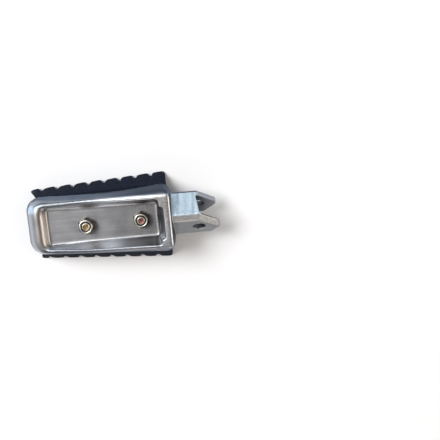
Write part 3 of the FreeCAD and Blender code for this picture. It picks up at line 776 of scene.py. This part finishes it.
def stud(end, material):
    """A flat-headed stud with a threaded shank and a dished, bevelled end."""
    rows = [(10.0, 4.6), (10.08, 4.85), (10.3, 5.0), (11.7, 5.0), (12.0, 4.9), (12.0, 3.0), (SEAT, 2.97)]
    rows += [(height, thread(height)) for height in np.arange(SEAT + 0.2, STUD_END - 0.44, 0.125)]
    rows += [(STUD_END - drop, radius) for radius, drop in (
        (2.5, 0.42), (2.38, 0.3), (2.15, 0.1), (2.0, 0.02), (1.88, 0.0), (1.78, 0.03), (1.7, 0.12),
        (1.6, 0.18), (1.3, 0.2), (0.8, 0.21), (0.3, 0.22))]
    piece = turned("stud_%s_body" % end, rows, STUDS[end], closed=False)
    sharpen(piece, 40)
    piece.data.materials.append(material)
    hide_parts("stud_" + end)
    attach(piece, "root")


# Light, floor and camera, in metres

FLOOR_SIZE = 6
FLOOR_DROP = 0.0001
LAMP_AIM = Vector((0, 0, 0.02))
# Each lamp's place, its side, its power in watts and its colour.
LAMPS = {
    "key": ((-0.90, 0.58, 1.28), 0.85, 30.0, (1.0, 1.0, 1.0)),
    "sky": ((0.05, 0.85, 0.42), 0.6, 0.42, (0.80, 0.90, 1.0)),
    "ground": ((-0.1, -0.7, 0.35), 0.5, 1.2, (1.0, 0.93, 0.85)),
    "warm": ((0.82, -0.05, 0.47), 0.45, 2.5, (1.0, 0.88, 0.76)),
}
# The camera's place, and its tilt from straight down and its turn, in degrees.
CAMERA_PLACE = (0.0719, 0.0852, 0.5023)
CAMERA_TILT = -10.5
CAMERA_TURN = -5.0
CAMERA_LENS = 60.8


def pale_floor():
    """A plain pale floor that keeps the peg's shadow."""
    bpy.ops.mesh.primitive_plane_add(size=FLOOR_SIZE, location=(0, 0, -FLOOR_DROP))
    plane = bpy.context.object
    plane.name = "floor"
    material = bpy.data.materials.new("pale_floor")
    material.use_nodes = True
    nodes = Nodes(material.node_tree)
    nodes.tree.nodes.clear()
    output = nodes.add("ShaderNodeOutputMaterial")
    diffuse = nodes.add("ShaderNodeBsdfDiffuse")
    nodes.put((0.84, 0.84, 0.85), diffuse.inputs["Color"])
    nodes.put(diffuse.outputs[0], output.inputs["Surface"])
    plane.data.materials.append(material)


def lamp(name, place, side, power, colour):
    """A soft square lamp that looks at the middle of the peg."""
    data = bpy.data.lights.new(name, "AREA")
    data.size = side
    data.energy = power
    data.color = colour
    light = bpy.data.objects.new(name, data)
    light.location = place
    light.rotation_euler = (LAMP_AIM - light.location).to_track_quat("-Z", "Y").to_euler()
    bpy.context.scene.collection.objects.link(light)


def room():
    """A soft room: pale walls, a little cooler on the +Y side, under a grey ceiling."""
    world = bpy.data.worlds.new("room")
    bpy.context.scene.world = world
    world.use_nodes = True
    nodes = Nodes(world.node_tree)
    background = nodes.tree.nodes["Background"]
    axes = nodes.split(nodes.add("ShaderNodeTexCoord").outputs["Generated"])
    walls = nodes.graded(axes[1], -0.7, 0.7, (0.62, 0.60, 0.58), (0.58, 0.65, 0.71))
    nodes.put(nodes.graded(axes[2], 0.30, 0.85, walls, (0.17, 0.17, 0.175)), background.inputs["Color"])
    background.inputs["Strength"].default_value = 1.0


def camera():
    """The photograph's viewpoint: nearly overhead, a little to the +Y side."""
    data = bpy.data.cameras.new("camera")
    data.sensor_width = 36
    data.lens = CAMERA_LENS
    view = bpy.data.objects.new("camera", data)
    view.location = CAMERA_PLACE
    view.rotation_euler = (math.radians(CAMERA_TILT), 0, math.radians(CAMERA_TURN))
    bpy.context.scene.collection.objects.link(view)
    bpy.context.scene.camera = view


casting()
rubber()

zinc = plated_steel("zinc_plate", (0.50, 0.47, 0.40), (0.80, 0.77, 0.70), 0.26, 0.4, shaded_hex=True)
stud_finishes = {
    "outer": stud_steel("yellow_plate", STUDS["outer"], (0.15, 0.085, 0.035), (0.44, 0.31, 0.16)),
    "inner": stud_steel("copper_plate", STUDS["inner"], (0.15, 0.055, 0.045), (0.40, 0.20, 0.17)),
}
ring_finish = nylon()
for end, stud_finish in stud_finishes.items():
    stud(end, stud_finish)
    nut(end, zinc)
    ring(end, ring_finish)

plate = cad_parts["backing_plate"]
plate.data.materials.clear()
plate.data.materials.append(plated_steel("plate_steel", (0.24, 0.24, 0.25), (0.42, 0.42, 0.43), 0.4, 0.6))

pale_floor()
room()
for name, settings in LAMPS.items():
    lamp(name, *settings)
camera()
bpy.context.scene.view_settings.view_transform = "Standard"
